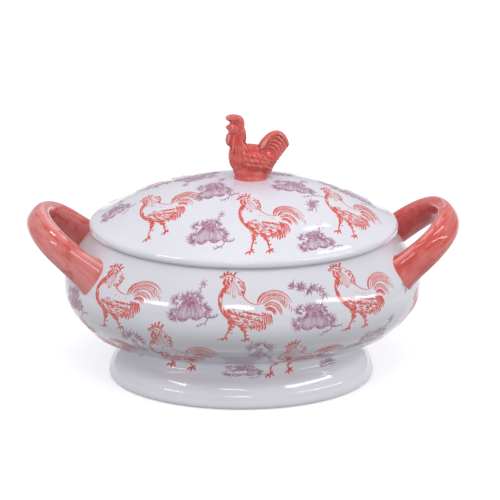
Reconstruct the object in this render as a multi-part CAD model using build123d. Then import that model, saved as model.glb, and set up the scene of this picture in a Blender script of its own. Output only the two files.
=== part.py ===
from build123d import *
import math
import os

# Oval pedestal soup tureen with a lift-off lid. Millimetres, +Z up.
# X runs from handle to handle, Z = 0 is the table, the rooster looks towards -X.

# --- heights -----------------------------------------------------------------
FOOT_TOP = 35.0        # joint plane between pedestal foot and bowl
RIM_Z = 133.0          # bowl rim, where the lid rests
FLANGE_DEPTH = 10.0    # how far the locating flange reaches into the bowl
OVAL = 0.76            # depth of the lid over its length

# --- bowl: (height, half length, half depth) ---------------------------------
BOWL_OUTER = [
    (35.0, 100.0, 66.4), (35.9, 112.0, 67.6), (38.0, 122.5, 70.8),
    (42.0, 128.0, 76.8), (47.0, 132.2, 84.2), (52.5, 137.0, 92.2),
    (58.0, 141.8, 99.6), (68.0, 148.2, 109.0), (80.0, 151.7, 114.5),
    (92.0, 151.2, 114.8), (104.0, 145.9, 111.2), (118.0, 137.4, 104.8),
    (126.0, 131.6, 100.6), (133.0, 127.6, 98.0),
]
BOWL_INNER = [
    (42.0, 98.0, 58.0), (43.2, 108.0, 62.5), (45.6, 117.0, 69.0),
    (49.6, 124.0, 76.5), (54.2, 129.2, 84.0), (59.2, 134.0, 91.2),
    (66.0, 139.0, 99.4), (80.0, 145.0, 107.6), (91.5, 144.4, 108.1),
    (102.5, 139.4, 104.7), (116.5, 130.9, 98.3), (126.0, 124.5, 94.0),
    (133.0, 121.0, 91.6),
]

# --- pedestal foot: (height, half length, half depth) ------------------------
FOOT_OUTER = [
    (0.0, 112.4, 80.6), (0.9, 113.6, 81.8), (2.8, 114.3, 82.6),
    (6.5, 114.0, 82.6), (11.5, 112.5, 81.4), (16.0, 110.1, 78.8),
    (20.0, 107.2, 75.4), (24.0, 104.0, 71.4), (28.0, 101.6, 68.4),
    (31.5, 100.3, 66.8), (35.0, 100.0, 66.4),
]
FOOT_WALL = 7.0

# --- lid profile: (radius along X, height), made oval afterwards -------------
LID_OUTER = [
    (130.9, 135.8), (130.2, 138.0), (128.2, 139.7), (124.0, 141.7),
    (118.0, 144.8), (110.0, 149.4), (98.0, 155.6), (84.0, 161.4),
    (66.0, 167.4), (50.0, 171.8), (36.0, 174.7), (22.0, 176.3), (0.0, 176.8),
]
LID_INNER = [
    (0.0, 171.2), (22.0, 170.7), (36.0, 169.1), (50.0, 166.1),
    (66.0, 161.8), (84.0, 155.7), (98.0, 149.6), (108.0, 143.6),
    (112.4, 139.4), (113.0, 137.0),
]
LID_SEAT_OUTER = 129.0
LID_SEAT_INNER = 113.0
FLANGE_OUTER = 119.0
FLANGE_INNER = 113.6

# --- strap handles -----------------------------------------------------------
HANDLE_ROOT = (129.3, 107.0)   # X and Z where the loop plane leaves the bowl
HANDLE_TILT = 39.5             # degrees above horizontal
HANDLE_LOOP = [                # (distance up the slope, half span)
    (-20.6, 47.8), (0.0, 45.1), (20.6, 41.9), (37.4, 36.1),
    (49.6, 24.8), (55.7, 11.0), (57.1, 0.0),
]
STRAP_WIDTH_ROOT = 31.0
STRAP_WIDTH_APEX = 21.5
STRAP_THICK_ROOT = 15.5
STRAP_THICK_APEX = 14.5

# --- rooster finial ----------------------------------------------------------
FINIAL_X = 5.0                 # centre of its base along X
FINIAL_BASE_Z = 174.0


def ellipse_loft(sections):
    """Solid through a stack of ellipses given as (z, half length, half depth)."""
    return loft([Pos(0, 0, z) * Ellipse(a, b) for z, a, b in sections])


def bowl_block():
    """The bowl's outer shape with no cavity, used to cut the handle ends."""
    return ellipse_loft(BOWL_OUTER)


def make_bowl():
    """Round-bellied bowl, about 6.5 mm thick, with a flat base and open mouth."""
    mouth = (RIM_Z + 3.0, BOWL_INNER[-1][1] - 0.8, BOWL_INNER[-1][2] - 0.6)
    cavity = ellipse_loft(BOWL_INNER + [mouth])
    bowl = bowl_block() - cavity
    rim = bowl.faces().sort_by(Axis.Z)[-1]
    return fillet(rim.edges(), 2.2)


def make_foot():
    """Hollow flared ring that the bowl stands on."""
    hollow = [(z, a - FOOT_WALL, b - FOOT_WALL) for z, a, b in FOOT_OUTER]
    low = (-3.0, hollow[0][1] - 1.0, hollow[0][2] - 1.0)
    high = (FOOT_TOP + 3.0, hollow[-1][1], hollow[-1][2])
    return ellipse_loft(FOOT_OUTER) - ellipse_loft([low] + hollow[1:] + [high])


def lid_profile(outer, inner):
    """Half section of the lid in the XZ plane."""
    edge = Spline(*[(r, z) for r, z in outer])
    under = Spline(*[(r, z) for r, z in inner])
    roll = Spline((LID_SEAT_OUTER, RIM_Z), outer[0])
    seat = Line((LID_SEAT_INNER, RIM_Z), (LID_SEAT_OUTER, RIM_Z))
    wall = Line(inner[-1], (LID_SEAT_INNER, RIM_Z))
    crown = Line(outer[-1], inner[0])
    return make_face(Plane.XZ * (edge + under + roll + seat + wall + crown))


def make_lid():
    """Oval domed lid with a rolled edge and a flat seat on the bowl rim."""
    turned = revolve(lid_profile(LID_OUTER, LID_INNER), Axis.Z)
    return scale(turned, by=(1, OVAL, 1))


def lid_block():
    """The lid with its dome filled, used to cut the finial's base to fit."""
    floor = [(r, RIM_Z + 1.0) for r in (0.0, 60.0, 100.0, 112.0)]
    turned = revolve(lid_profile(LID_OUTER, floor), Axis.Z)
    return scale(turned, by=(1, OVAL, 1))


def make_flange():
    """Upright oval collar under the lid that locates it inside the rim."""
    outer = Ellipse(FLANGE_OUTER, FLANGE_OUTER * OVAL)
    inner = Ellipse(FLANGE_INNER, FLANGE_INNER * OVAL)
    ring = extrude(outer - inner, FLANGE_DEPTH)
    lower = ring.edges().filter_by_position(Axis.Z, -0.01, 0.01)
    return Pos(0, 0, RIM_Z - FLANGE_DEPTH) * fillet(lower, 1.8)


def strap_section(thick, width):
    """Soft oval section: thick in the loop plane, wide across it."""
    return fillet(Rectangle(thick, width).vertices(), thick * 0.46)


def make_handle(side):
    """Strap loop rising outward from the bowl; side is +1 right, -1 left."""
    tilt = math.radians(HANDLE_TILT)
    loop_x = Vector(math.cos(tilt), 0, math.sin(tilt))
    loop_n = Vector(-math.sin(tilt), 0, math.cos(tilt))
    plane = Plane((HANDLE_ROOT[0], 0, HANDLE_ROOT[1]), x_dir=loop_x, z_dir=loop_n)
    front = [(u, -v) for u, v in HANDLE_LOOP]
    back = [(u, v) for u, v in reversed(HANDLE_LOOP[:-1])]
    path = plane * Spline(*(front + back))
    stations = []
    for t in (0.0, 0.12, 0.3, 0.5, 0.7, 0.88, 1.0):
        apex = 1 - abs(2 * t - 1)
        thick = STRAP_THICK_ROOT + (STRAP_THICK_APEX - STRAP_THICK_ROOT) * apex
        width = STRAP_WIDTH_ROOT + (STRAP_WIDTH_APEX - STRAP_WIDTH_ROOT) * apex
        frame = Plane(path @ t, x_dir=(path % t).cross(loop_n), z_dir=path % t)
        stations.append(frame * strap_section(thick, width))
    strap = sweep(stations, path=path, multisection=True)
    handle = strap - bowl_block()
    outer = handle.solids().sort_by(Axis.X)[-1]
    return outer if side > 0 else mirror(outer, Plane.YZ)


def blob(x, z, rx, ry, rz, lean=0.0):
    """Ellipsoid on the finial's centre plane, leaned about Y."""
    ball = scale(Sphere(1.0), by=(rx, ry, rz))
    return Pos(x, 0, z) * Rot(0, lean, 0) * ball


def plate(points, thick):
    """Flat spline outline in the XZ plane, extruded evenly about Y = 0."""
    outline = make_face(Plane.XZ * Spline(*points, periodic=True))
    return extrude(outline, thick / 2, both=True)


def make_finial():
    """Standing rooster in one casting, on a low mound."""
    x = FINIAL_X
    mound = blob(x, FINIAL_BASE_Z + 3.5, 15.5, 11.0, 9.5)
    legs = blob(x - 1.5, 186.0, 13.5, 8.2, 9.5)
    body = blob(x + 0.5, 195.0, 16.0, 9.8, 10.5, 10)
    breast = blob(x - 9.5, 197.0, 9.8, 8.8, 14.0, -4)
    neck = blob(x - 12.0, 211.0, 7.4, 6.4, 13.5, 8)
    head = blob(x - 14.2, 220.0, 6.2, 5.2, 6.8)
    beak = blob(x - 19.3, 220.8, 3.4, 2.0, 1.8, 8)
    comb = plate([(-15.2, 226.5), (-17.0, 229.4), (-15.0, 231.6), (-9.5, 232.8),
                  (-4.5, 230.8), (-2.8, 227.5), (-4, 223), (-11, 220)], 5.2)
    wattle = plate([(-14.6, 214.5), (-17.4, 210), (-16.4, 205.6), (-13, 204.6),
                    (-9, 208), (-9, 214)], 6.5)
    tail = plate([(6, 198), (12, 206), (17.5, 213.2), (24.5, 217.8), (31, 215.6),
                  (35.4, 209.5), (36.2, 205), (31, 199), (25.5, 191),
                  (21.5, 184), (14, 184)], 8.5)
    rooster = mound + legs + body + breast + neck + head
    return rooster + beak + comb + wattle + tail - lid_block()


def main():
    os.makedirs("parts", exist_ok=True)
    parts = {
        "bowl": make_bowl(),
        "pedestal_foot": make_foot(),
        "right_handle": make_handle(+1),
        "left_handle": make_handle(-1),
        "lid": make_lid(),
        "lid_flange": make_flange(),
        "rooster_finial": make_finial(),
    }
    for name, shape in parts.items():
        export_step(shape, "parts/" + name + ".step")


main()
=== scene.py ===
import bpy
import bmesh
import math
import random
import numpy as np
from mathutils import Matrix, Vector


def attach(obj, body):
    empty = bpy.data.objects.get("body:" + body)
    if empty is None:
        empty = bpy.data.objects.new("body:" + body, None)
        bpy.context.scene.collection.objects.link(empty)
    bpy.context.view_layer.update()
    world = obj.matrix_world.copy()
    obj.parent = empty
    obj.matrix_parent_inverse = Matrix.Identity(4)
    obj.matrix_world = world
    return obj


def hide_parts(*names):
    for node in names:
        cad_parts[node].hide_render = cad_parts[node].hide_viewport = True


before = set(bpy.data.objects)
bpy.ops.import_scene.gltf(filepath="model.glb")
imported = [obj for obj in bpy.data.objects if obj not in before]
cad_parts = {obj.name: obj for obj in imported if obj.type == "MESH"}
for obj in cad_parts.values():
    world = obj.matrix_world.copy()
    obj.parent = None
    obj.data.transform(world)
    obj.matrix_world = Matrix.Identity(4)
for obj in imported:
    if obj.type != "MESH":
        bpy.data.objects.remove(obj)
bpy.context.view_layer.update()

# Soup tureen: glazed bowl, foot and lid as smooth oval shells, brushed coral
# handles, a cast rooster finial and line prints laid on the glaze as thin ink.
# Profiles are in millimetres: (height, half length, half depth) for the bowl and
# the foot, (radius along X, height) for the lid and its flange.
MM = 0.001
OVAL = 0.76

BOWL_OUTER = [
    (35, 100, 66.4), (35.9, 112, 67.6), (38, 122.5, 70.8),
    (42, 128, 76.8), (47, 132.2, 84.2), (52.5, 137, 92.2),
    (58, 141.8, 99.6), (68, 148.2, 109), (80, 151.7, 114.5),
    (92, 151.2, 114.8), (104, 145.9, 111.2), (118, 136.9, 104.4),
    (126, 131, 99.7), (131.2, 127.4, 96.7)]
BOWL_RIM = [(132.3, 126.3, 95.8), (132.9, 125, 94.8), (133, 123.9, 93.9),
            (132.8, 122.6, 92.9), (132, 121.7, 92.2), (130.8, 121.4, 91.9)]
BOWL_INNER = [
    (129, 122.4, 92.7), (126, 124.5, 94), (116.5, 130.9, 98.3),
    (102.5, 139.4, 104.7), (91.5, 144.4, 108.1), (80, 145, 107.6),
    (66, 139, 99.4), (59.2, 134, 91.2), (54.2, 129.2, 84),
    (49.6, 124, 76.5), (45.6, 117, 69), (43.2, 108, 62.5),
    (42.2, 96, 57)]
BOWL_UNDER = [(35, 0, 0), (35, 40, 26), (35, 75, 48), (35, 92, 60), (35, 98.5, 65)]
BOWL_WELL = [(42, 88, 55), (41.9, 70, 44), (41.9, 40, 25), (41.9, 0, 0)]
FOOT_OUTER = [
    (0, 110.6, 78.8), (0.25, 111.9, 80), (0.9, 113.3, 81.4), (2.8, 114.3, 82.6),
    (6.5, 114, 82.6), (11.5, 112.5, 81.4), (16, 110.1, 78.8),
    (20, 107.2, 75.4), (24, 104, 71.4), (28, 101.6, 68.4),
    (31.2, 101, 67.2), (33.2, 101.9, 67.1), (34.6, 104.6, 67.3),
    (35.6, 108.5, 67.4)]
FOOT_WALL = 7
FOOT_BACK = [   # the line that the foot's inside follows, one wall further in
    (35.2, 100, 66.4), (31.5, 100.3, 66.8), (28, 101.6, 68.4),
    (24, 104, 71.4), (20, 107.2, 75.4), (16, 110.1, 78.8),
    (11.5, 112, 81), (6.5, 112.9, 81.8), (2.4, 113, 82.2),
    (0.6, 114, 83.2), (0, 115.4, 84.6)]
LID_OUTER = [
    (0, 176.8), (22, 176.3), (36, 174.7), (50, 171.8), (66, 167.4),
    (84, 161.4), (98, 155.6), (110, 149.4), (118, 144.8),
    (124, 141.7), (128.2, 139.7), (130.2, 138), (130.9, 135.8)]
LID_EDGE = [(130.6, 134.3), (129.9, 133.4), (128.8, 133), (127, 133),
            (114.4, 133), (113.3, 133.3), (113, 134.2)]
LID_INNER = [
    (113, 137), (112.4, 139.4), (108, 143.6), (98, 149.6),
    (84, 155.7), (66, 161.8), (50, 166.1), (36, 169.1),
    (22, 170.7), (0, 171.2)]
FLANGE = [(112.9, 134.2), (113.4, 133), (113.6, 131.5), (113.7, 124.6),
          (114.4, 123.4), (116, 123), (117.8, 123.3), (118.8, 124.4),
          (119, 126), (119, 131.4), (119.5, 132.6), (120.6, 132.95)]

HANDLE_ROOT = (129.3, 107)
HANDLE_TILT = math.radians(39.5)
HANDLE_LOOP = [(-20.6, 47.8), (0, 45.1), (20.6, 41.9), (37.4, 36.1),
               (49.6, 24.8), (55.7, 11), (57.1, 0)]
HANDLE_THICK = (15.5, 14.5)     # at the roots and at the top of the loop
HANDLE_WIDE = (31, 21.5)
HANDLE_STEPS = 150              # along the loop before it is cut off at the bowl
HANDLE_ROWS = 120               # along what is left of it
HANDLE_AROUND = 48
HANDLE_PALE_AND_PAINTED_LIGHT = {1: 0.14, -1: 0.4}   # how thinly the coral was brushed, right and left, with painted light: the left handle is painted paler and the right darker, as if lit from the left


# ----------------------------------------------------------------- curves --
def curve(points, count):
    """Natural spline through the points, evenly spaced along its length."""
    p = np.array(points, float)
    t = np.concatenate([[0], np.cumsum(np.linalg.norm(np.diff(p, axis=0), axis=1) ** 0.5)])
    n = len(p)
    h = np.diff(t)
    a = np.zeros((n, n))
    r = np.zeros_like(p)
    a[0, 0] = a[-1, -1] = 1
    for i in range(1, n - 1):
        a[i, i - 1], a[i, i], a[i, i + 1] = h[i - 1], 2 * (h[i - 1] + h[i]), h[i]
        r[i] = 6 * ((p[i + 1] - p[i]) / h[i] - (p[i] - p[i - 1]) / h[i - 1])
    m = np.linalg.solve(a, r)

    def at(s):
        k = np.clip(np.searchsorted(t, s, "right") - 1, 0, n - 2)
        x0, x1 = (t[k + 1] - s)[:, None], (s - t[k])[:, None]
        hk = h[k][:, None]
        return (m[k] * x0 ** 3 + m[k + 1] * x1 ** 3) / (6 * hk) \
            + (p[k] / hk - m[k] * hk / 6) * x0 + (p[k + 1] / hk - m[k + 1] * hk / 6) * x1

    fine = at(np.linspace(0, t[-1], 1200))
    length = np.concatenate([[0], np.cumsum(np.linalg.norm(np.diff(fine, axis=0), axis=1))])
    want = np.linspace(0, length[-1], count)
    return np.stack([np.interp(want, length, fine[:, k]) for k in range(p.shape[1])], 1)


def unit(rows):
    return rows / np.maximum(np.linalg.norm(rows, axis=1)[:, None], 1e-9)


def beside(line):
    """Unit normals to the left of a flat line's course."""
    d = unit(np.gradient(line, axis=0))
    return np.stack([-d[:, 1], d[:, 0]], 1)


def oval(points):
    """Lid profile (radius, height) as (height, half length, half depth)."""
    return [(z, r, r * OVAL) for r, z in points]


# ----------------------------------------------------------------- meshes --
def add_object(name, data):
    thing = bpy.data.objects.new(name, data)
    bpy.context.scene.collection.objects.link(thing)
    return thing


def add_mesh(name, verts, faces, smooth=True):
    mesh = bpy.data.meshes.new(name)
    mesh.from_pydata([tuple(v) for v in verts], [], [tuple(f) for f in faces])
    mesh.validate()
    if smooth:
        mesh.polygons.foreach_set("use_smooth", [True] * len(mesh.polygons))
    mesh.update()
    return add_object(name, mesh)


def oval_shell(name, rings, columns=288, closed=False):
    """Skin through ellipses; a ring of no size becomes a pole."""
    verts, rows = [], []
    angle = np.linspace(0, 2 * math.pi, columns, endpoint=False)
    for z, a, b in rings:
        start = len(verts)
        if a < 0.01:
            verts.append((0, 0, z * MM))
            rows.append([start] * columns)
        else:
            verts.extend(zip(a * MM * np.cos(angle), b * MM * np.sin(angle), [z * MM] * columns))
            rows.append(list(range(start, start + columns)))
    if closed:
        rows.append(rows[0])
    faces = []
    for low, high in zip(rows, rows[1:]):
        for i in range(columns):
            j = (i + 1) % columns
            quad = [low[i], low[j], high[j], high[i]]
            faces.append(list(dict.fromkeys(quad)))
    return add_mesh(name, verts, faces)


def set_attribute(piece, name, values, kind="FLOAT"):
    layer = piece.data.attributes.new(name, kind, "POINT")
    field = "value" if kind == "FLOAT" else "vector"
    layer.data.foreach_set(field, np.asarray(values, float).ravel())


def coordinates(piece):
    out = np.empty(len(piece.data.vertices) * 3)
    piece.data.vertices.foreach_get("co", out)
    return out.reshape(-1, 3)


# -------------------------------------------------------------- materials --
class Nodes:
    """Small helper that builds a node material."""

    def __init__(self, name):
        self.material = bpy.data.materials.new(name)
        self.material.use_nodes = True
        self.tree = self.material.node_tree
        self.tree.nodes.clear()
        self.shader = self.add("ShaderNodeBsdfPrincipled")
        self.feed(self.add("ShaderNodeOutputMaterial"), {"Surface": self.shader.outputs[0]})

    def add(self, kind, **values):
        node = self.tree.nodes.new(kind)
        for key, value in values.items():
            setattr(node, key, value)
        return node

    def feed(self, node, values):
        """Set the node's inputs to numbers or colours, or link outputs to them."""
        for name, value in values.items():
            if isinstance(value, (int, float)):
                node.inputs[name].default_value = value
            elif isinstance(value, tuple):
                node.inputs[name].default_value = (*value, 1)
            else:
                self.tree.links.new(value, node.inputs[name])

    def noise(self, source, scale, detail=2, rough=0.5, distort=0):
        node = self.add("ShaderNodeTexNoise")
        self.feed(node, {"Vector": source, "Scale": scale, "Detail": detail,
                         "Roughness": rough, "Distortion": distort})
        return node.outputs[0]

    def ramp(self, source, stops):
        node = self.add("ShaderNodeValToRGB")
        ramp = node.color_ramp
        while len(ramp.elements) < len(stops):
            ramp.elements.new(0.5)
        for element, (place, colour) in zip(ramp.elements, stops):
            element.position = place
            element.color = (*colour, 1)
        self.feed(node, {0: source})
        return node.outputs[0]

    def mix(self, factor, a, b):
        node = self.add("ShaderNodeMix", data_type="RGBA", blend_type="MIX")
        self.feed(node, {0: factor, 6: a, 7: b})
        return node.outputs[2]

    def attribute(self, name, output="Fac"):
        return self.add("ShaderNodeAttribute", attribute_name=name).outputs[output]

    def object_space(self):
        return self.add("ShaderNodeTexCoord").outputs["Object"]

    def bump(self, source, distance, strength, under=None):
        node = self.add("ShaderNodeBump")
        self.feed(node, {"Distance": distance, "Strength": strength, "Height": source})
        if under is not None:
            self.feed(node, {"Normal": under})
        return node.outputs[0]

    def waves(self, space):
        """The slow unevenness of the glaze, shared by the ink that lies on it."""
        return self.bump(self.noise(space, 42, 2, 0.45), 0.00045, 0.55)

    def finish(self, colour, rough, normal=None, coat=0, specular=0.5):
        self.feed(self.shader, {"Base Color": colour, "Roughness": rough, "Coat Weight": coat,
                                "Coat Roughness": 0.04, "Specular IOR Level": specular})
        if normal is not None:
            self.feed(self.shader, {"Normal": normal})
        return self.material


GLAZE_COAT = 0.35


def white_glaze(name, dull, clear):
    """Cool white glaze: soft mottling, a lavender tint where a piece's attribute asks for it, gentle
    waves.
    """
    n = Nodes(name)
    space = n.object_space()
    cloud = n.noise(space, 14, 3, 0.55)
    colour = n.ramp(cloud, [(0.3, dull), (0.72, clear)])
    speck = n.noise(space, 520, 1)
    colour = n.mix(n.ramp(speck, [(0.74, (0, 0, 0)), (0.8, (0.35, 0.35, 0.35))]),
                   colour, (0.54, 0.5, 0.54))
    lavender_tint = n.attribute("lavender_tint")
    colour = n.mix(lavender_tint, colour, (0.58, 0.42, 0.54))
    ripple = n.bump(n.attribute("ripple"), 0.0008, 0.6, n.waves(space))
    fine = n.bump(n.noise(space, 330, 2, 0.5), 0.00004, 0.6, ripple)
    rough = n.ramp(n.noise(space, 60, 2), [(0.3, (0.045,) * 3), (0.75, (0.085,) * 3)])
    return n.finish(colour, rough, fine, coat=GLAZE_COAT)


def coral_glaze():
    """Brushed coral glaze: streaks follow the piece; darker in hollows and where shade is painted, paler
    where thinly brushed and where highlights are painted.
    """
    n = Nodes("coral_glaze")
    brush = n.attribute("brush", "Vector")
    stretch = n.add("ShaderNodeMapping")
    stretch.inputs["Scale"].default_value = (34, 130, 34)
    n.feed(stretch, {"Vector": brush})
    streak = n.noise(stretch.outputs[0], 1, 4, 0.6, 0.6)
    patch = n.noise(brush, 78, 3, 0.55, 0.5)
    base = n.ramp(streak, [(0.3, (0.57, 0.034, 0.024)), (0.5, (0.67, 0.07, 0.054)),
                           (0.72, (0.73, 0.16, 0.13))])
    dark = n.ramp(patch, [(0.5, (0, 0, 0)), (0.64, (0.8, 0.8, 0.8))])
    # paler where the coral is thinly brushed, and where painted highlight and painted side light are
    # laid in
    thin_glaze_and_painted_light = n.attribute("thin_glaze_and_painted_light")
    colour = n.mix(thin_glaze_and_painted_light, base, (0.8, 0.42, 0.39))
    colour = n.mix(dark, colour, (0.6, 0.055, 0.034))
    # darker in hollows and at joints, and painted shade on the handles' inner faces and in the finial's
    # recesses
    darkening_and_painted_shade = n.attribute("darkening_and_painted_shade")
    colour = n.mix(darkening_and_painted_shade, colour, (0.46, 0.016, 0.009))
    lumps = n.bump(n.noise(brush, 90, 2), 0.0005, 0.5)
    grain = n.bump(streak, 0.00022, 0.5, lumps)
    rough = n.ramp(patch, [(0.3, (0.06,) * 3), (0.8, (0.12,) * 3)])
    return n.finish(colour, rough, grain, coat=0.6, specular=0.4)


def print_ink(name, deep, pale):
    """Transfer ink under the same gloss as the glaze, uneven in strength."""
    n = Nodes(name)
    space = n.object_space()
    worn = n.noise(space, 420, 2, 0.6)
    colour = n.ramp(worn, [(0.36, deep), (0.7, pale)])
    return n.finish(colour, 0.1, n.waves(space), coat=GLAZE_COAT)


WHITE = white_glaze("white_glaze", (0.685, 0.675, 0.72), (0.745, 0.735, 0.775))
# the foot's white is the same glaze painted lighter: painted light, standing in for light thrown up on
# the foot from below
FOOT_WHITE_PAINTED_LIGHTER = white_glaze("foot_glaze_painted_lighter", (0.79, 0.78, 0.825), (0.85, 0.84, 0.88))
CORAL = coral_glaze()
RED_INK = print_ink("red_print", (0.62, 0.042, 0.026), (0.74, 0.19, 0.15))
MAUVE_INK = print_ink("mauve_print", (0.31, 0.115, 0.19), (0.56, 0.35, 0.44))
PALE_INK = print_ink("pale_mauve_print", (0.4, 0.22, 0.3), (0.58, 0.42, 0.49))


# ------------------------------------------------------ bowl, foot and lid --
def ceramic(piece, body, node, lavender_tint=0, ripple=0, glaze=WHITE):
    piece.data.materials.append(glaze)
    flat = np.zeros(len(piece.data.vertices))
    set_attribute(piece, "lavender_tint", flat + lavender_tint)
    set_attribute(piece, "ripple", flat + ripple)
    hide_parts(node)
    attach(piece, body)


bowl_skin = curve(BOWL_OUTER, 90)
foot_skin = curve(FOOT_OUTER, 60)
lid_skin = curve(LID_OUTER, 90)


def build_bowl():
    rings = BOWL_UNDER + list(bowl_skin) + BOWL_RIM + list(curve(BOWL_INNER, 70)) + BOWL_WELL
    piece = oval_shell("bowl_glazed", rings)
    ceramic(piece, "tureen", "bowl")


def build_foot():
    inner = [(z, a - FOOT_WALL, b - FOOT_WALL) for z, a, b in FOOT_BACK]
    rings = list(foot_skin) + list(curve(inner, 44))
    piece = oval_shell("foot_glazed", rings, closed=True)
    ceramic(piece, "tureen", "pedestal_foot", glaze=FOOT_WHITE_PAINTED_LIGHTER)


def build_lid():
    rings = oval(list(lid_skin) + LID_EDGE + list(curve(LID_INNER, 60)))
    piece = oval_shell("lid_glazed", rings)
    co = coordinates(piece) / MM
    reach = np.hypot(co[:, 0], co[:, 1] / OVAL)
    turn = np.arctan2(co[:, 1] / OVAL, co[:, 0])
    top = co[:, 2] > 133.5
    # pinkish-lavender tint on the lid's top, strongest round the finial and fading outwards
    lavender_tint = np.clip(1 - (reach - 14) / 48, 0, 1) ** 1.5 * 0.32 * top
    ray = np.clip((reach - 16) / 8, 0, 1) * np.clip((56 - reach) / 22, 0, 1)
    spokes = np.sin(turn * 46 + 2.2 * np.sin(turn * 7))
    ring = np.clip((reach - 62) / 12, 0, 1) * np.clip((112 - reach) / 16, 0, 1)
    ring = ring * np.clip(np.cos(turn - 2.6), 0, 1)
    ripple = (0.16 * ray * spokes + 0.12 * ring * np.sin(reach * 1.1)) * top
    # the same tint, a little more along the spokes round the finial
    lavender_tint = lavender_tint + 0.1 * ray * (spokes > 0.3) * top
    ceramic(piece, "lid", "lid", np.clip(lavender_tint, 0, 1), ripple)


def build_flange():
    piece = oval_shell("lid_flange_glazed", list(curve(oval(FLANGE), 56)), closed=True)
    ceramic(piece, "lid", "lid_flange")


# ----------------------------------------------------------------- handles --
def bowl_size(z):
    """Half length and half depth of the bowl's outside at a height."""
    return [np.interp(z, bowl_skin[:, 0], bowl_skin[:, k]) for k in (1, 2)]


def outside_bowl(points, sink=0):
    """Positive outside the bowl, in rough millimetres."""
    a, b = bowl_size(points[..., 2])
    a, b = a - sink, b - sink
    return (np.sqrt((points[..., 0] / a) ** 2 + (points[..., 1] / b) ** 2) - 1) * (a + b) / 2


def cut_at_bowl(grid):
    """The stretch of each lengthwise line that lies outside the bowl, in even rows."""
    out = outside_bowl(grid, sink=1.6)
    skin = np.empty((HANDLE_ROWS, HANDLE_AROUND, 3))
    for k in range(HANDLE_AROUND):
        free = np.where(out[:, k] > 0)[0]
        lo, hi = free[0], free[-1]
        first = lo - out[lo, k] / (out[lo, k] - out[lo - 1, k])
        last = hi + out[hi, k] / (out[hi, k] - out[hi + 1, k])
        want = np.linspace(first, last, HANDLE_ROWS)
        for axis in range(3):
            skin[:, k, axis] = np.interp(want, np.arange(HANDLE_STEPS), grid[:, k, axis])
    return skin


def tube_faces(rows, around):
    """Quads of an open tube and its two end caps."""
    faces = []
    for i in range(rows - 1):
        for k in range(around):
            m = (k + 1) % around
            faces.append([i * around + k, i * around + m, (i + 1) * around + m, (i + 1) * around + k])
    return faces + [list(range(around))[::-1], [(rows - 1) * around + k for k in range(around)]]


def build_handle(side, name, node):
    half = np.array(HANDLE_LOOP)
    loop = np.concatenate([half * [1, -1], half[-2::-1]])
    line = curve(loop, HANDLE_STEPS)
    across = -beside(line)
    t = np.linspace(0, 1, HANDLE_STEPS)
    apex = 1 - abs(2 * t - 1)
    phi = np.linspace(0, 2 * math.pi, HANDLE_AROUND, endpoint=False)
    soft = np.sign(np.cos(phi)) * abs(np.cos(phi)) ** 0.72
    tall = np.sign(np.sin(phi)) * abs(np.sin(phi)) ** 0.86
    wobble = 0.35 * np.sin(t * 17 + 1.3 + side) + 0.25 * np.sin(t * 31 + 2 * side)
    thick, wide = ((root + (top - root) * apex ** power + wobble) / 2
                   for (root, top), power in ((HANDLE_THICK, 1), (HANDLE_WIDE, 0.8)))
    u, v = (line[:, None, k] + across[:, None, k] * thick[:, None] * soft for k in (0, 1))
    n = wide[:, None] * tall[None, :]
    c, s = math.cos(HANDLE_TILT), math.sin(HANDLE_TILT)
    grid = np.stack([HANDLE_ROOT[0] + u * c - n * s, v, HANDLE_ROOT[1] + u * s + n * c], -1)
    skin = cut_at_bowl(grid)
    middle = skin.mean(axis=1, keepdims=True)
    run = np.linspace(0, 1, HANDLE_ROWS)
    gap = np.minimum(run, 1 - run) * 150
    flare = 1 + 0.16 * np.exp(-gap / 3.2)
    skin = middle + (skin - middle) * flare[:, None, None]
    flat = skin.reshape(-1, 3).copy()
    flat[:, 0] *= side
    faces = tube_faces(HANDLE_ROWS, HANDLE_AROUND)
    if side < 0:
        faces = [face[::-1] for face in faces]
    piece = add_mesh(name, flat * MM, faces)
    piece.data.materials.append(CORAL)
    along = np.repeat(run * 0.15, HANDLE_AROUND)
    about = np.tile(phi / (2 * math.pi) * 0.08, HANDLE_ROWS)
    turn = np.tile(np.sin(phi) * 0.02, HANDLE_ROWS)
    set_attribute(piece, "brush", np.stack([along + 0.7 * side, about, turn], 1), "FLOAT_VECTOR")
    # darker towards the roots, where the handle meets the bowl, and painted shade on the inner face, the
    # side turned to the bowl
    edge = np.exp(-np.repeat(gap, HANDLE_AROUND) / 2) * 0.35
    inner = np.clip(np.tile(-np.cos(phi), HANDLE_ROWS), 0, 1) ** 2 * 0.3
    set_attribute(piece, "darkening_and_painted_shade", np.clip(edge + inner, 0, 1))
    # a pale line along the top ridge: painted highlight, with the glaze also thinning there
    ridge_painted_highlight = np.exp(-((np.tile(phi, HANDLE_ROWS) - 1.15) / 0.13) ** 2) * 0.6
    set_attribute(piece, "thin_glaze_and_painted_light", HANDLE_PALE_AND_PAINTED_LIGHT[side] + ridge_painted_highlight)
    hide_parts(node)
    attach(piece, "tureen")


# ---------------------------------------------------------- rooster finial --
FINIAL_VOXEL = 0.42


def ellipsoid(bm, x, y, z, rx, ry, rz, lean=0, level=3):
    matrix = Matrix.Translation((x, y, z)) @ Matrix.Rotation(math.radians(lean), 4, "Y") \
        @ Matrix.Diagonal((rx, ry, rz, 1))
    bmesh.ops.create_icosphere(bm, subdivisions=level, radius=1, matrix=matrix)


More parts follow.
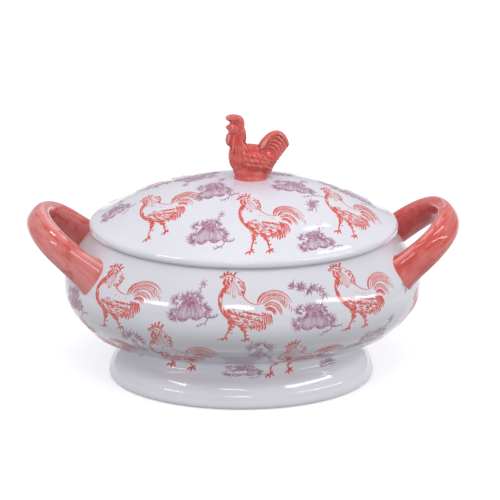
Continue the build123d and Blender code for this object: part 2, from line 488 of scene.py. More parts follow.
def quill(bm, points, radii, flat=1, count=26, around=12):
    """Tapered tube along a curve; flat scales it across Y."""
    line = curve(points, count)
    size = np.interp(np.linspace(0, 1, count), np.linspace(0, 1, len(radii)), radii)
    rows = []
    for i in range(count):
        along = Vector(line[min(i + 1, count - 1)] - line[max(i - 1, 0)]).normalized()
        side = Vector((0, 1, 0))
        side = (side - along * side.dot(along)).normalized()
        up = along.cross(side)
        ring = []
        for k in range(around):
            angle = 2 * math.pi * k / around
            spot = Vector(line[i]) + side * math.cos(angle) * size[i] * flat \
                + up * math.sin(angle) * size[i]
            ring.append(bm.verts.new(spot))
        rows.append(ring)
    for low, high in zip(rows, rows[1:]):
        for k in range(around):
            m = (k + 1) % around
            bm.faces.new((low[k], low[m], high[m], high[k]))
    bm.faces.new(rows[0][::-1])
    bm.faces.new(rows[-1])


def slab(bm, outline, half):
    """Upright plate with the given side outline and half thickness."""
    near = [bm.verts.new((x, -half, z)) for x, z in outline]
    far = [bm.verts.new((x, half, z)) for x, z in outline]
    bm.faces.new(near)
    bm.faces.new(far[::-1])
    for i, vert in enumerate(near):
        j = (i + 1) % len(near)
        bm.faces.new((vert, far[i], far[j], near[j]))


def finial_masses(bm):
    """Skirt, body, breast, neck and head of the standing rooster."""
    for mass in ((4.8, 0, 177.6, 14.2, 9.8, 8), (5.2, 0, 183.4, 15.6, 9.5, 9.8, 4),
                 (9, 0, 187.6, 15, 8.6, 9, 4), (5.8, 0, 194.8, 16.6, 9.8, 10.4, 10),
                 (5, 0, 202.6, 11, 6.2, 4, 4), (-4.3, 0, 195.6, 10.2, 8.8, 14.6, -5),
                 (-6.6, 0, 210.6, 7.3, 6.2, 13.4, 8), (-9.2, 0, 220, 6.2, 5.2, 6.4),
                 (-6.6, 0, 224.4, 4.4, 4, 4.4), (-3.9, 0, 222.4, 3, 3.4, 7.2, 4),
                 (16.6, 0, 194, 8.8, 6.8, 9.5, -35)):
        ellipsoid(bm, *mass)
    quill(bm, [(-12, 0, 221.8), (-14.8, 0, 221.6), (-16.8, 0, 220.6)], [2.7, 2, 1])
    quill(bm, [(-12, 0, 219.8), (-14, 0, 219.2), (-15.4, 0, 218.8)], [1.7, 1.2, 0.6])


def finial_comb(bm):
    """Smooth cap of a comb, wattles, cheeks and eyes."""
    for mass in ((-10, 0, 229.4, 7.4, 3.4, 3.2, 2), (-14.2, 0, 229.2, 2.9, 2.9, 2.5),
                 (-5.4, 0, 228, 2.8, 3.2, 3.2), (-8.6, 0, 226.2, 5.6, 3, 2.8, 4)):
        ellipsoid(bm, *mass)
    for y in (-1.9, 1.9):
        quill(bm, [(-12.4, y, 216.4), (-14.2, y * 1.15, 212.2), (-14.4, y * 1.1, 208.2),
                   (-12.6, y, 205.6)], [1.3, 2.4, 2.4, 1.2])
        ellipsoid(bm, -11.2, y * 2.3, 221.8, 1, 0.8, 1)


def finial_tail(bm):
    """Fan of cast feathers; their ends lie on one slanting edge."""
    slab(bm, [(10, 190), (11, 203), (15.5, 210.4), (19.6, 214.8), (25.5, 216.9), (31, 214.6),
              (35, 208.8), (35.8, 205), (31.5, 199), (26.6, 192.4), (23, 186), (21.4, 181), (12, 184)],
         2.9)
    root = (9.6, 0, 200)
    for k in range(6):
        f = k / 5
        rise = (16 - 2.2 * f, 0, 210.6 - 10 * f)
        crown = (25.8 - 8 * f, 0, 216.2 - 14 * f)
        fall = (32.2 - 8.6 * f, 0, 212.8 - 14.8 * f)
        end = (35.6 - 10.2 * f, 0, 205.6 - 15.6 * f)
        quill(bm, [root, rise, crown, fall, end], [1.6, 1.9, 1.95, 1.8, 1.4], flat=2.35 - 0.1 * k)
    for side in (-1, 1):
        quill(bm, [(12.5, side * 4.6, 203.4), (15, side * 4.8, 208), (17.8, side * 4.2, 211.4)],
              [1.5, 2, 0.9], count=10, around=8)


def finial_feathers(bm):
    """Wing pad with its rows of feathers, hackles and the folds of the skirt."""
    for side in (-1, 1):
        ellipsoid(bm, 7.4, side * 6.9, 193.8, 12.6, 3.9, 8.2, 8)
        for row, (x0, z0, count) in enumerate(((-1, 199.6, 5), (0.6, 195.6, 5), (2.4, 191.4, 4))):
            for k in range(count):
                x = x0 + k * 4.1
                bulge = 10.8 - 0.026 * (x - 7.4) ** 2 - 0.034 * (z0 - 194) ** 2
                ellipsoid(bm, x, side * bulge, z0 - 0.5 * k, 2.9, 1, 1.4, 52 - 16 * row, level=2)
        for k in range(3):
            z = 197 - k * 3.3
            quill(bm, [(13, side * 8.8, z), (17.6, side * 7.6, z - 1.6), (22.4, side * 4.9, z - 4.6)],
                  [1.3, 1.4, 0.7], count=10, around=8)
        for k in range(6):
            lean = k - 2.5
            quill(bm, [(-8.4 + lean * 0.8, side * 4.9, 215.5), (-6.6 + lean * 1.6, side * 6.5, 208.4),
                       (-4.4 + lean * 2.7, side * 7.6, 200.4)], [0.5, 0.95, 0.5], count=12, around=8)
        for k in range(4):
            quill(bm, [(-11.4 + k * 1.3, side * (3 + k), 203 - k),
                       (-13 + k * 1.5, side * (3.2 + k), 195.5),
                       (-11 + k * 1.5, side * (3 + k), 187)], [0.6, 1, 0.6], count=12, around=8)


def smoothed(points, edges, rounds):
    count = np.bincount(edges.ravel(), minlength=len(points))[:, None]
    for _ in range(rounds):
        total = np.zeros_like(points)
        np.add.at(total, edges[:, 0], points[edges[:, 1]])
        np.add.at(total, edges[:, 1], points[edges[:, 0]])
        points = (points + total / count) / 2
    return points


def build_finial():
    bm = bmesh.new()
    finial_masses(bm)
    finial_comb(bm)
    finial_tail(bm)
    finial_feathers(bm)
    raw = bpy.data.meshes.new("finial_raw")
    bm.to_mesh(raw)
    bm.free()
    holder = add_object("finial_raw", raw)
    remesh = holder.modifiers.new("skin", "REMESH")
    remesh.mode = "VOXEL"
    remesh.voxel_size = FINIAL_VOXEL
    graph = bpy.context.evaluated_depsgraph_get()
    cast = bpy.data.meshes.new_from_object(holder.evaluated_get(graph))
    bpy.data.objects.remove(holder)
    bpy.data.meshes.remove(raw)
    piece = add_object("rooster_cast", cast)
    co = coordinates(piece)
    edges = np.empty(len(cast.edges) * 2, int)
    cast.edges.foreach_get("vertices", edges)
    edges = edges.reshape(-1, 2)
    co = smoothed(co, edges, 3)
    wide = smoothed(co, edges, 22)
    reach = np.hypot(co[:, 0], co[:, 1] / OVAL)
    floor = np.interp(reach, lid_skin[:, 0], lid_skin[:, 1])
    co[:, 2] = np.maximum(co[:, 2], floor - 0.9)
    cast.vertices.foreach_set("co", (co * MM).ravel())
    cast.polygons.foreach_set("use_smooth", [True] * len(cast.polygons))
    cast.update()
    normal = np.empty(len(cast.vertices) * 3)
    cast.vertices.foreach_get("normal", normal)
    cavity = ((wide - co) * normal.reshape(-1, 3)).sum(axis=1)
    cast.materials.clear()
    cast.materials.append(CORAL)
    set_attribute(piece, "brush", co * MM * 1.6, "FLOAT_VECTOR")
    # darker in the hollows and just above the lid; the three spots below are painted shade in the
    # recesses under the wing, by the skirt and between comb and head
    low = np.exp(-np.clip(co[:, 2] - floor, 0, None) / 0.9) * 0.4
    under = 0
    for x, z, long, tall, much in ((7, 185.2, 8, 1.7, 1), (15.5, 184.4, 2.2, 2.2, 1),
                                   (-9.5, 225.6, 6, 1, 0.8)):
        under += much * np.exp(-((co[:, 0] - x) / long) ** 2 - ((co[:, 2] - z) / tall) ** 2)
    set_attribute(piece, "darkening_and_painted_shade", np.clip(cavity * 3.2, 0, 0.9) + low + 0.75 * under)
    # paler on the ridges, where the glaze thins, with painted highlight on them
    set_attribute(piece, "thin_glaze_and_painted_light", np.clip(-cavity * 1.5, 0, 0.4))
    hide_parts("rooster_finial")
    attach(piece, "lid")


# ------------------------------------------------------------------ prints --
INK_TOP = 0.08      # how far the ink stands off the glaze, millimetres
INK_ROOT = -0.05    # how deep its closed underside is sunk in the glaze
FIRST_SEED = 11


def taper(count, width, start=0.25, end=0.15):
    t = np.linspace(0, 1, count)
    shape = np.minimum(1, np.minimum(start + t * 5, end + (1 - t) * 4))
    return width * shape


class Sheet:
    """Collects ink strokes that lie on one piece, each a slim closed slab."""

    def __init__(self, lay):
        self.lay = lay
        self.verts = []
        self.faces = []

    def start(self, spot, centre):
        """Begin a drawing whose own centre line goes through the spot."""
        self.spot = spot
        self.shift = (centre, 0)

    def ribbon(self, points, widths):
        """Stroke with a width at each point."""
        p = np.array(points, float) - self.shift
        w = np.array(widths, float)[:, None] / 2
        n = beside(p)
        laid, normal, inside = self.lay(np.concatenate([p + n * w, p - n * w]), self.spot)
        k = len(p)
        keep = np.flatnonzero(inside[:k] & inside[k:])
        if len(keep) < 2:
            return
        keep = np.arange(keep[0], keep[-1] + 1)
        left, right = keep, keep + k
        block = [laid[left] + normal[left] * INK_TOP, laid[right] + normal[right] * INK_TOP,
                 laid[right] + normal[right] * INK_ROOT, laid[left] + normal[left] * INK_ROOT]
        start, k = len(self.verts), len(keep)
        self.verts.extend(np.stack(block, 1).reshape(-1, 3))
        for i in range(k - 1):
            a, b = start + 4 * i, start + 4 * i + 4
            for j in range(4):
                m = (j + 1) % 4
                self.faces.append((a + j, a + m, b + m, b + j))
        self.faces.append((start + 3, start + 2, start + 1, start))
        last = start + 4 * (k - 1)
        self.faces.append((last, last + 1, last + 2, last + 3))

    def stroke(self, points, width, count, start=0.25, end=0.15):
        """Smooth stroke through the points that thins towards its ends."""
        self.ribbon(curve(points, count), taper(count, width, start, end))


def on_spot(uv, spot):
    """A drawing's points at the size and the turn of its spot, in millimetres."""
    grow_u, grow_v, turn = spot[2:5]
    c, s = math.cos(turn), math.sin(turn)
    u, v = uv[:, 0] * grow_u, uv[:, 1] * grow_v
    return u * c - v * s, u * s + v * c


def lay_on_bowl(uv, spot):
    """Wrap a drawing round the bowl; its spot is (degrees, run down from the rim)."""
    u, v = on_spot(uv, spot)
    run = spot[1] - v
    inside = (run > 0.8) & (run < BOWL_RUN[-1] - 0.8)
    run = np.clip(run, 0.4, BOWL_RUN[-1] - 0.4)

    def skin(at):
        return [np.interp(at, BOWL_RUN, BOWL_DOWN[:, k]) for k in range(3)]

    z, a, b = skin(run)
    angle = np.full(len(u), math.radians(spot[0]))
    for _ in range(8):
        angle += (u / 8) / np.hypot(a * np.sin(angle), b * np.cos(angle))
    down = [low - high for low, high in zip(skin(run + 0.4), skin(run - 0.4))]
    c, s = np.cos(angle), np.sin(angle)
    slope = np.stack([down[1] * c, down[2] * s, down[0]], 1)
    level = np.stack([-a * s, b * c, np.zeros_like(a)], 1)
    return np.stack([a * c, b * s, z], 1), unit(np.cross(slope, level)), inside


def lay_on_lid(uv, spot):
    """Drop a drawing straight down on to the dome; its spot is (x, y)."""
    u, v = on_spot(uv, spot)
    x, y = spot[0] + u, spot[1] + v

    def height(px, py):
        return np.interp(np.hypot(px, py / OVAL), lid_skin[:, 0], lid_skin[:, 1])

    inside = np.hypot(x, y / OVAL) < 127
    gx = height(x + 0.5, y) - height(x - 0.5, y)
    gy = height(x, y + 0.5) - height(x, y - 0.5)
    normal = unit(np.stack([-gx, -gy, np.ones_like(gx)], 1))
    return np.stack([x, y, height(x, y)], 1), normal, inside


# The bowl's outside with the foot's below it, from the rim down, and how far
# along the surface each of its rows lies.
BOWL_DOWN = np.concatenate([foot_skin[foot_skin[:, 0] > 9], bowl_skin[bowl_skin[:, 0] > 36]])[::-1]
BOWL_RUN = np.concatenate([[0], np.cumsum(np.hypot(np.diff(BOWL_DOWN[:, 0]), np.diff(BOWL_DOWN[:, 2])))])


class Rooster:
    """A strutting cockerel engraved in strokes; it looks left, 100 units high."""

    def __init__(self, sheet, seed):
        self.sheet = sheet
        self.pick = random.Random(seed)
        self.vary = self.pick.uniform
        self.draw()

    def bend(self, p):
        """Lean the neck and head back for a crowing bird, or forward for a low one."""
        p = np.array(p, float)
        pivot = np.array([24, 60])
        rise = np.clip((p[:, 1] - 60) / 24, 0, 1) * np.clip((50 - p[:, 0]) / 6, 0, 1)
        angle = self.sheet.spot[5] * rise
        c, s = np.cos(angle), np.sin(angle)
        d = p - pivot
        turned = np.stack([d[:, 0] * c + d[:, 1] * s, -d[:, 0] * s + d[:, 1] * c], 1)
        return pivot + turned

    def stroke(self, points, width, count=9, start=0.25, end=0.15):
        line = self.bend(curve(points, count))
        self.sheet.ribbon(line, taper(count, width, start, end))

    def dashes(self, low, high, rows, width, long=0.35, gap=0.12, count=34):
        """Broken hatch lines that run between two guide curves."""
        a, b = curve(low, count), curve(high, count)
        for k in range(rows):
            t = (k + 0.5 + self.vary(-0.25, 0.25)) / rows
            line = self.bend(a * (1 - t) + b * t)
            at = self.vary(0, gap)
            while at < 0.97:
                end = min(1, at + long * self.vary(0.5, 1.4))
                i, j = int(at * (count - 1)), int(end * (count - 1))
                if j - i >= 2:
                    wide = width * self.vary(0.65, 1.3)
                    step = max(1, (j - i) // 5)
                    part = line[i:j + 1:step]
                    self.sheet.ribbon(part, taper(len(part), wide))
                at = end + gap * self.vary(0.4, 1.5)

    def draw(self):
        self.head()
        self.neck()
        self.body()
        self.tail()
        self.legs()

    def head(self):
        for x, y, tx, ty in ((12, 93, 10.4, 96.4), (15, 94, 15.2, 98.6), (18.6, 94.4, 20.6, 101),
                             (22, 93, 26.4, 98.4)):
            self.stroke([(x, y - 1.5), ((x + tx) / 2 - 0.4, (y + ty) / 2), (tx, ty)], 2.5, 5, 0.8)
        self.stroke([(10.5, 92.5), (15, 94.2), (20.5, 93.4), (25, 90)], 1.9, 8)
        self.stroke([(13, 91.5), (9, 91), (4.6, 88)], 2, 6, 0.8)
        self.stroke([(12.5, 88), (9.4, 88.4), (6, 87.6)], 1.3, 5, 0.8)
        self.stroke([(14.8, 90), (16.2, 91.1), (17.6, 90), (16.2, 88.9), (15, 89.6)], 1, 8)
        self.stroke([(13.4, 87.4), (11.2, 83.6), (11.4, 79.8), (13.6, 78)], 3.4, 7, 0.6, 0.4)
        self.stroke([(16.4, 86.4), (15.6, 83), (16.8, 80)], 2.4, 6, 0.5, 0.4)
        self.stroke([(20, 90.4), (21.4, 87.4), (19.6, 84.6)], 1.5, 6)
        self.dashes([(13, 92), (12, 89), (13, 86)], [(24, 91), (25, 87), (22, 83)], 6, 1, 0.45)

    def neck(self):
        self.stroke([(25, 91.5), (31, 87.6), (36, 81), (37.6, 74), (35.8, 68.4), (38.6, 62.6),
                     (45, 58), (52, 56.2), (60, 58)], 1.2, 24)
        self.dashes([(29, 87), (34.5, 80.5), (36, 74), (34.6, 68)],
                    [(26, 86), (30.6, 79.6), (32, 74), (31, 67)], 3, 1.2, 0.2, 0.1)
        for k in range(5):
            x, y = 36.6 - abs(k - 2) * 0.9, 84 - k * 4.4
            self.stroke([(x - 2.4, y + 1.4), (x + 1.6, y + 0.4), (x - 0.6, y - 2.6)], 1.2, 6)
        for k in range(7):
            f = k / 6
            top = (15 + 9 * f, 84 + 2 * math.sin(f * 3))
            mid = (13.5 + 16 * f, 74)
            end = (14 + 20 * f + self.vary(-1, 1), 64.5 + 2.5 * math.sin(f * 9))
            self.stroke([top, mid, end], self.vary(0.4, 0.9), 8)
            if k % 2:
                self.stroke([(end[0] - 1.8, end[1] + 5), end, (end[0] + 2, end[1] + 5)], 0.9, 6)
        self.dashes([(14, 85), (14.5, 80), (12, 75), (9, 70)], [(18, 83), (18, 78), (16, 73), (13, 67)],
                    4, 1.3, 0.3, 0.08)

    def body(self):
        breast = [(13.4, 78), (8.6, 70.5), (6, 61), (6.8, 51), (11, 42), (18, 34.6), (27, 30)]
        self.stroke(breast, 2.3, 22, 0.5, 0.4)
        inner = [(15.5, 75), (12, 68), (9.8, 60), (10.8, 51.5), (15, 43), (22, 37.6), (30, 34)]
        self.dashes(breast, inner, 4, 1.5, 0.25, 0.07)
        low = [(11, 42), (19, 33), (32, 26.5), (47, 24), (62, 26.5)]
        middle = [(18, 48.5), (27, 42), (38, 36.6), (50, 33.4), (63, 34.6)]
        top = [(25, 51), (34, 46.4), (44, 43), (55, 42), (66, 44.6)]
        self.dashes(low, middle, 8, 1.2, 0.14, 0.06)
        self.dashes(middle, top, 5, 0.9, 0.12, 0.1)
        self.stroke(low[1:], 1.3, 16)
        for k in range(8):
            x = 21 + k * 5
            y = 40.5 - k * 1.1
            self.stroke([(x, y + 5), (x + 2.8, y + 1.2), (x + 6.8, y - 0.6)],
                        self.vary(1, 2.2), 6)
        for k in range(5):
            self.stroke([(36 + k * 4.6, 47 - k * 0.6), (40 + k * 4.6, 44.6 - k * 0.7),
                         (45 + k * 4.6, 43.6 - k * 0.6)], 1.9, 6)
        self.dashes([(30, 56), (42, 51), (54, 50)], [(34, 60), (44, 55), (56, 54)], 3, 0.6, 0.08, 0.25)
        for k in range(6):
            x = 47 + k * 3.4
            self.stroke([(x, 28 + k), (x + 1.8, 23 + k * 0.5),
                         (x + 0.4, 20.6 + 2 * math.sin(k * 1.7))],
                        self.vary(1.4, 2.6), 6, 0.5)
        for k in range(6):
            x = 57.5 + k * 2.1
            low = 26.5 + 0.7 * (k - 2.5) ** 2 + self.vary(-1, 1)
            self.stroke([(x + 2.6, 47 - k * 0.5), (x + 4.6, 40), (x + 3.4 + 0.5 * k, low)],
                        self.vary(1.2, 1.9), 8, 0.5, 0.1)

    def plume(self, spine, reach, lines, width):
        """Sickle feather drawn as a bundle of parting lines."""
        line = curve(spine, 20)
        n = beside(line)
        t = np.linspace(0, 1, 20)
        swell = np.sin(math.pi * np.clip(0.12 + 0.8 * t, 0, 1)) * reach
        for k in range(lines):
            f = 2 * k / (lines - 1) - 1
            stop = 20 - (0 if k in (0, lines - 1) else self.pick.randint(1, 6))
            begin = 0 if k in (0, lines - 1) else self.pick.randint(0, 4)
            side = (line + n * (swell * f)[:, None])[begin:stop:2]
            wide = width if k in (0, lines - 1) else width * self.vary(0.5, 0.85)
            self.sheet.ribbon(side, taper(len(side), wide, 0.5))

    def tail(self):
        self.plume([(55, 56), (58, 65), (66, 71.6), (77, 73.4), (89, 68), (99, 56)], 3, 5, 1.1)
        self.plume([(60, 57), (66, 64), (75, 67), (84, 62.5), (91, 50)], 2.3, 4, 0.9)
        self.plume([(63, 54), (70, 58.6), (77, 57), (83, 49.5), (85.6, 41)], 2.3, 4, 1.1)
        self.plume([(64, 50), (70, 51.6), (75, 48.6), (78, 42)], 1.9, 4, 1.3)
        self.stroke([(54, 56), (54.4, 63), (58.6, 70), (66, 74.6)], 1.7, 12)
        for k in range(4):
            x, y = 87 + k * 3, 66 - k * 3.6
            self.stroke([(x, y), (x + 1.4, y - 4.4), (x + 0.8, y - 8.5)], 0.9, 5)

    def leg(self, hip, knee, foot, lead):
        thigh = curve([hip, ((hip[0] + knee[0]) / 2, (hip[1] + knee[1]) / 2), knee], 7)
        self.sheet.ribbon(thigh, np.linspace(5.6, 2.4, 7))
        shank = curve([knee, ((knee[0] + foot[0]) / 2 - 0.5, (knee[1] + foot[1]) / 2), foot], 7)
        self.sheet.ribbon(shank, np.linspace(2.5, 1.9, 7))
        for dx, dy in ((-lead, -3.6), (-lead * 0.3, -4.6), (4.6, -2.6), (4.8, 1.8)):
            end = (foot[0] + dx, foot[1] + dy)
            mid = (foot[0] + dx * 0.5, foot[1] + dy * 0.5 + 1)
            self.sheet.stroke([foot, mid, end], 2, 5, 0.9)
        x, y = knee
        self.sheet.stroke([(x, y - 3), (x + 2.6, y - 4), (x + 5, y - 2.8)], 1.5, 5)

    def legs(self):
        for hip, knee, foot, lead in (((24, 31), (21.4, 18.6), (16.4, 4.6), 9),
                                      ((35, 27), (41, 16.6), (43.6, 5.6), 7)):
            self.leg(hip, knee, foot, lead)
        self.dashes([(17, 34), (19.4, 26), (20, 19)], [(30, 30), (27, 23), (23.4, 18)], 6, 1.5, 0.4)
        self.dashes([(29, 29), (34, 22), (39, 17)], [(42, 26), (43.4, 21), (43.4, 17)], 6, 1.5, 0.4)


LEAF_WIDTHS = 0.165 * np.array([0.35, 0.95, 0.9, 0.5, 0.08])


def leaf_spray(sheet, x, y, size, aim, pick, leaves=7, spread=0.42):
    """Tuft of pointed leaves that fans out round an aim angle."""
    for k in range(leaves):
        angle = aim + (k - (leaves - 1) / 2) * spread + pick.uniform(-0.12, 0.12)
        long = size * pick.uniform(0.7, 1.15)
        tip = (x + math.cos(angle) * long, y + math.sin(angle) * long)
        side = (x + math.cos(angle + 0.22) * long * 0.55, y + math.sin(angle + 0.22) * long * 0.55)
        sheet.ribbon(curve([(x, y), side, tip], 5), size * LEAF_WIDTHS)


def twig(sheet, points, pick, width=0.9):
    line = curve(points, 10)
    sheet.ribbon(line, taper(10, width, 0.9))
    for i in (3, 5, 7):
        lean = pick.choice((-1, 1))
        d = line[i + 1] - line[i - 1]
        d = d / np.linalg.norm(d)
        n = np.array([-d[1], d[0]]) * lean
        tip = line[i] + (d * 2.2 + n * 3.4)
        sheet.stroke([line[i], line[i] + d * 1.3 + n * 1.2, tip], width * 0.9, 4, 0.9)


def draw_bush(sheet, seed):
    """Two fluted bulbs under a leafy cap, with tufts and a twig; 62 units wide."""
    pick = random.Random(seed)
    for centre, foot in ((20.5, 4.6), (36, 5.8)):
        lean = 0.3 * (centre - 28.5)
        for k in range(12):
            f = (k - 5.5) / 5.5
            flute = [(28.6 + lean + f * 4.4, 33.5), (centre * 0.55 + 12.8 + f * 5.4, 24),
                     (centre + f * 8.4, 15.5), (centre + f * 8.2, 9.2),
                     (centre + f * 4.8, foot + 0.3 + f * f)]
            sheet.stroke(flute, pick.uniform(0.55, 1.15), 10, 0.4, 0.7)
        for k in range(3):
            rise = foot - 0.2 + k * 1.3
            bow = 6.4 - 0.5 * k
            sheet.stroke([(centre - bow, rise + 2.4), (centre, rise), (centre + bow, rise + 2.4)],
                         1.6 - 0.3 * k, 7)
    for x, y, size, aim in ((9, 13, 9, 3), (11, 8.5, 8, 3.9), (12.5, 16, 8, 2.2), (12, 10, 7, 3.4),
                            (46, 17, 9, 0.6), (45, 12, 8, -0.1), (43, 20, 8, 1.3), (47, 15, 7, 0.2),
                            (11, 28.5, 7, 3.1), (14, 31, 7, 2.3), (12.5, 27, 6, 4.4), (22.5, 31, 8, 3),
                            (26, 33, 7, 2.2), (31, 33.5, 7, 1.3), (36, 32, 8, 0.4), (38, 29.5, 7, -0.5)):
        leaf_spray(sheet, x, y, size, aim, pick, 6)
    twig(sheet, [(24, 31), (18, 30.4), (12, 29)], pick)
    twig(sheet, [(36, 33), (39, 39), (41, 45)], pick)
    leaf_spray(sheet, 42, 46.5, 6.5, 1.4, pick, 7, 0.86)
    twig(sheet, [(44, 9.6), (50, 7.4), (56, 7.6), (62, 10.5)], pick, 1.3)
    twig(sheet, [(49, 7.6), (47, 3), (42, 0), (35, -3.4)], pick, 1.2)


def draw_sprig(sheet, seed):
    """Short leafy branch, about 36 units wide and 22 high."""
    pick = random.Random(seed)
    twig(sheet, [(2, 15), (10, 13), (20, 9), (34, 6)], pick, 1.3)
    for x, y, size, aim in ((7, 14, 8, 2.6), (13, 13, 8, 1.2), (19, 9, 8, -0.9), (25, 9, 8, 1),
                            (30, 7, 7, -0.4), (12, 12, 7, -1.5)):
        leaf_spray(sheet, x, y, size, aim, pick, 7)


def draw_flower(sheet, seed):
    """Single leafy head on a short stem, about 24 units across."""
    pick = random.Random(seed)
    leaf_spray(sheet, 18, 11, 11, 1.6, pick, 11, 0.57)
    leaf_spray(sheet, 18, 11, 6, 1.4, pick, 9, 0.7)
    twig(sheet, [(18, 11), (24, 17), (28, 19)], pick, 1.3)
    twig(sheet, [(18, 11), (15, 4), (11, 0)], pick, 1.3)


def draw_pod(sheet, seed):
    """Small stump with a leafy top, about 26 units wide and 24 high."""
    pick = random.Random(seed)
    for k in range(9):
        f = (k - 4) / 4
        sheet.stroke([(12 + f * 3, 17), (12 + f * 2.6, 11), (12 + f * 8.5, 3 + 2.5 * f * f)],
                     1.7, 7, 0.5, 0.8)
    for k in range(5):
        rise = k * 0.8
        sheet.stroke([(3 + rise, 3.4 + rise), (12, 0.4 + k), (21 - rise, 3 + rise)], 1.7, 7)
    for x, y, size, aim in ((5, 18, 8, 2.9), (10, 19, 8, 1.9), (17, 18, 9, 0.5), (20, 16, 7, -0.3)):
        leaf_spray(sheet, x, y, size, aim, pick, 7)


def both_ways(spots, on_lid=False):
    """Repeat each print half a turn round the piece."""
    out = []
    for spot in spots:
        a, b, u, v, turn, *lean = spot
        out.append(spot)
        out.append((-a, -b, u, v, turn + math.pi, *lean) if on_lid else (a + 180, b, u, v, turn, *lean))
    return out


# Each print: its spot (two numbers), millimetres of width and of height per drawing
# unit, its turn and, for a rooster, how far the neck leans.
LID_ROOSTERS = [(-66, -64, 0.54, 0.62, -0.03, 0), (18, -92, 0.59, 0.61, 0.03, 0),
                (90, -63, 0.51, 0.67, 0.05, -0.1),
                # the three on the lid's back, a little smaller
                (66, 80, 0.53, 0.42, math.pi, 0), (-18, 93, 0.6, 0.5, math.pi, 0),
                (-90, 68, 0.53, 0.42, math.pi, -0.1)]
BOWL_ROOSTERS = [(-133, 62, 0.67, 0.57, 0.16, 0.36), (-91, 61.5, 0.65, 0.6, -0.07, 0),
                 (-50.2, 60.5, 0.65, 0.595, -0.08, 0), (-115, 132, 0.65, 0.84, -0.08, 0),
                 (-67.5, 133, 0.62, 0.74, 0.07, 0), (-148, 129, 0.68, 0.62, 0, 0),
                 (-10, 108, 0.66, 0.62, 0, 0.1)]
LID_BUSHES = [(-35, -83.5, 0.67, 0.65, -0.15), (57, -83.5, 0.66, 0.45, 0.34),
              (-26, -37, 0.62, 0.74, 0), (42, -26, 0.74, 0.62, 0)]
LID_END_BUSHES = [(-106, -16, 0.5, 0.6, 0.1), (96, -4, 0.5, 0.8, -0.2)]
LID_SPRIGS = [(-73, 8, 0.75, 1.3, 0.2), (78, 22, 0.75, 0.9, 2.8)]
LID_FLOWERS = [(53, -47, 0.62, 0.95, 0)]
BOWL_BUSHES = [(-109.3, 46.2, 0.72, 0.71, 0.115), (-70.5, 55.2, 0.77, 0.68, -0.08),
               (-44.5, 102, 0.76, 0.95, -0.1), (-160, 64, 0.6, 0.6, 0.1)]
BOWL_SPRIGS = [(-72, 25, 0.9, 0.72, 0)]
BOWL_FLOWERS = [(-28, 42, 0.6, 0.6, 0)]
BOWL_PODS = [(-131, 97, 0.85, 1.5, 0), (-88, 89, 0.9, 1.15, 0)]
COVE_BUSHES = [(-91.5, 133.5, 0.68, 0.3, 0), (-47, 132, 0.35, 0.18, 0)]


def lay_prints():
    jobs = (
        ("lid_rooster_print", "lid", lay_on_lid, RED_INK, ((Rooster, 50, LID_ROOSTERS),)),
        ("bowl_rooster_print", "tureen", lay_on_bowl, RED_INK,
         ((Rooster, 50, both_ways(BOWL_ROOSTERS)),)),
        ("lid_plant_print", "lid", lay_on_lid, MAUVE_INK,
         ((draw_bush, 31, both_ways(LID_BUSHES, on_lid=True) + LID_END_BUSHES),
          (draw_sprig, 18, LID_SPRIGS),
          (draw_flower, 18, both_ways(LID_FLOWERS, on_lid=True)))),
        ("bowl_plant_print", "tureen", lay_on_bowl, MAUVE_INK,
         ((draw_bush, 31, both_ways(BOWL_BUSHES)), (draw_sprig, 18, both_ways(BOWL_SPRIGS)),
          (draw_flower, 18, both_ways(BOWL_FLOWERS)), (draw_pod, 12, both_ways(BOWL_PODS)))),
        ("foot_plant_print", "tureen", lay_on_bowl, PALE_INK,
         ((draw_bush, 31, both_ways(COVE_BUSHES)),)))
    for name, body, lay, ink, groups in jobs:
        sheet = Sheet(lay)
        seed = FIRST_SEED
        for draw, centre, spots in groups:
            for spot in spots:
                sheet.start(spot, centre)
                draw(sheet, seed)
                seed += 1
        piece = add_mesh(name, np.array(sheet.verts) * MM, sheet.faces, smooth=False)
        piece.data.materials.append(ink)
        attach(piece, body)


# ------------------------------------------------------------- the studio --
TARGET = Vector((0, 0, 0.1))
STRIP_REACH = 2
STAGE = 30          # half the floor's side
SKY_GLOW = 0.72
GROUND_GLOW = 0.25    # what comes up from below, blended over the horizon
FLOOR_GLOW = 0.32     # lifts the floor to the plain white of a lit sweep


def floor_material():
    n = Nodes("studio_floor")
    shade = n.noise(n.object_space(), 1.5, 2)
    colour = n.ramp(shade, [(0.3, (0.915, 0.915, 0.915)), (0.8, (0.935, 0.935, 0.935))])
    n.feed(n.shader, {"Emission Color": (1, 1, 1), "Emission Strength": FLOOR_GLOW})
    return n.finish(colour, 0.8, specular=0.1)


def direction(azimuth, height):
    """Unit vector from the object; azimuth from the front, to the right, in degrees."""
    turn, rise = math.radians(azimuth), math.radians(height)
    return Vector((math.sin(turn) * math.cos(rise), -math.cos(turn) * math.cos(rise), math.sin(rise)))


def add_lamp(name, place, across, size, power):
    """Area lamp that faces the object, its long side along a direction."""
    back = (place - TARGET).normalized()
    across = (across - back * across.dot(back)).normalized()
    light = bpy.data.lights.new(name, "AREA")
    light.shape = "RECTANGLE"
    light.size, light.size_y = size
    light.energy = power
    lamp = add_object(name, light)
    turned = Matrix((across, back.cross(across), back)).transposed()
    lamp.matrix_world = Matrix.Translation(place) @ turned.to_4x4()
    return lamp


def soft_box(name, azimuth, height, reach, size, power):
    """Broad fill light that leaves no reflection in the glaze."""
    away = direction(azimuth, height)
    level = away.cross(Vector((0, 0, 1)))
    lamp = add_lamp(name, TARGET + away * reach, level, size, power)
    lamp.visible_glossy = False


def strip(name, start, end, width, glow):
    """Narrow light between two directions, for one bright streak in the glaze."""
    a, b = (direction(*aim) * STRIP_REACH for aim in (start, end))
    long = (b - a).length
    add_lamp(name, TARGET + (a + b) / 2, b - a, (long, width), glow * math.pi * long * width)


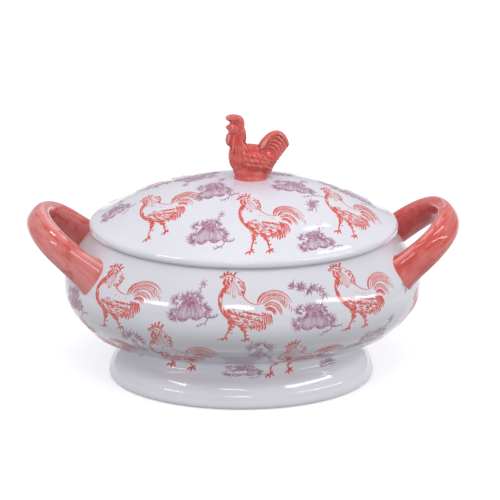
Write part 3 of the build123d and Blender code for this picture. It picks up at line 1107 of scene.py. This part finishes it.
# Narrow lights: name, where it starts and ends, width in metres, glow.
STREAKS = (("left_streak", (-57, 20), (-41, 21), 0.12, 8),
           ("middle_streak", (-10, 23), (5, 21.5), 0.12, 8),
           ("right_streak", (38, 22), (78, 12), 0.09, 8),
           ("lid_streak", (116, 64.5), (125, 53), 0.06, 12),
           ("left_window", (-70, 49), (-46, 50), 0.32, 11),
           ("foot_front_streak", (-17, 50), (6, 49), 0.08, 8),
           ("right_window", (37, 46), (79, 37), 0.22, 8))


def build_studio():
    corners = [(x * STAGE, y * STAGE, 0) for x, y in ((-1, -1), (1, -1), (1, 1), (-1, 1))]
    floor = add_mesh("floor", corners, [(0, 1, 2, 3)])
    floor.data.materials.append(floor_material())
    floor.visible_diffuse = False
    world = bpy.data.worlds.new("studio")
    bpy.context.scene.world = world
    world.use_nodes = True
    tree = world.node_tree
    back = tree.nodes["Background"]
    back.inputs[0].default_value = (0.93, 0.94, 1, 1)
    sky = tree.nodes.new("ShaderNodeTexCoord")
    split = tree.nodes.new("ShaderNodeSeparateXYZ")
    tree.links.new(sky.outputs["Generated"], split.inputs[0])
    level = tree.nodes.new("ShaderNodeMapRange")
    for name, value in (("From Min", -0.15), ("From Max", 0.15),
                        ("To Min", GROUND_GLOW), ("To Max", SKY_GLOW)):
        level.inputs[name].default_value = value
    tree.links.new(split.outputs["Z"], level.inputs[0])
    tree.links.new(level.outputs[0], back.inputs[1])
    soft_box("key", -6, 60, 4, (2, 1.5), 21)
    for streak in STREAKS:
        strip(*streak)
    bpy.context.scene.view_settings.view_transform = "Standard"


CAMERA_REACH = 2
CAMERA_LENS = 169.4
CAMERA_SHIFT = Vector((0.00544, 0.0113, 0))    # where it looks, off the target


def build_camera():
    rise, swing, roll = math.radians(21.06), math.radians(5), math.radians(1.1)
    away = Vector((-math.sin(swing) * math.cos(rise), -math.cos(swing) * math.cos(rise),
                   math.sin(rise)))
    eye = TARGET + away * CAMERA_REACH
    data = bpy.data.cameras.new("camera")
    data.sensor_width = 36
    data.lens = CAMERA_LENS
    data.clip_start, data.clip_end = 0.05, 30
    camera = add_object("camera", data)
    look = (-away).to_track_quat("-Z", "Y").to_matrix()
    aim = TARGET + look @ CAMERA_SHIFT
    look = (aim - eye).to_track_quat("-Z", "Y").to_matrix()
    camera.matrix_world = Matrix.Translation(eye) @ (look @ Matrix.Rotation(roll, 3, "Z")).to_4x4()
    bpy.context.scene.camera = camera


build_bowl()
build_foot()
build_lid()
build_flange()
build_handle(1, "right_handle_glazed", "right_handle")
build_handle(-1, "left_handle_glazed", "left_handle")
build_finial()
lay_prints()
build_studio()
build_camera()
bpy.context.view_layer.update()
